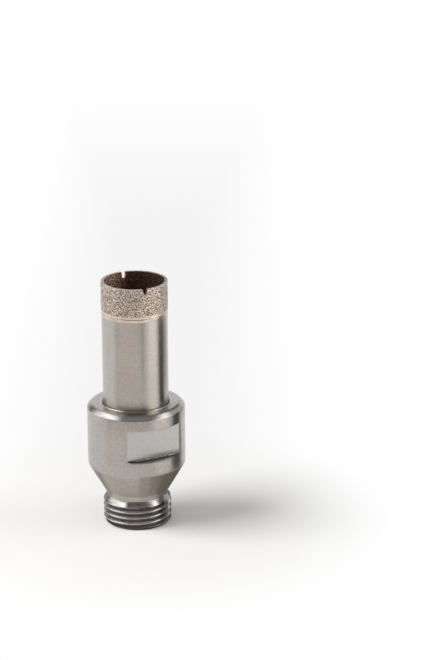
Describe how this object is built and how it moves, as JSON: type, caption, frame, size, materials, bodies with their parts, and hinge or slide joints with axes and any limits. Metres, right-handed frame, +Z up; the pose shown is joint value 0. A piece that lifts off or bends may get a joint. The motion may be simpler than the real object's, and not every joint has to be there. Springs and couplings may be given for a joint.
{
  "type": "diamond core bit",
  "caption": "Tubular diamond core bit for wet drilling: slotted diamond ring on a thin steel tube, set in a turned steel shank with wrench flats, a taper and a male pipe thread.",
  "frame": {"origin": "centre of the end face of the threaded end, on which the bit stands", "axes": "+Z up the bit's axis, from the threaded end to the cutting rim; the two wrench flats are square to Y"},
  "size_m": [0.03, 0.03, 0.0775],
  "materials": {
    "turned_steel": "satin turned steel",
    "tube_steel": "fine ground steel",
    "silver_solder": "pale solder",
    "plain_bronze": "pale sintered bronze",
    "diamond_bronze": "rough, with diamond grit"
  },
  "bodies": {
    "root": {"shank": "turned_steel", "core_tube": "tube_steel", "braze_ring": "silver_solder", "backing_ring": "plain_bronze", "diamond_ring": "diamond_bronze"}
  },
  "joints": []
}
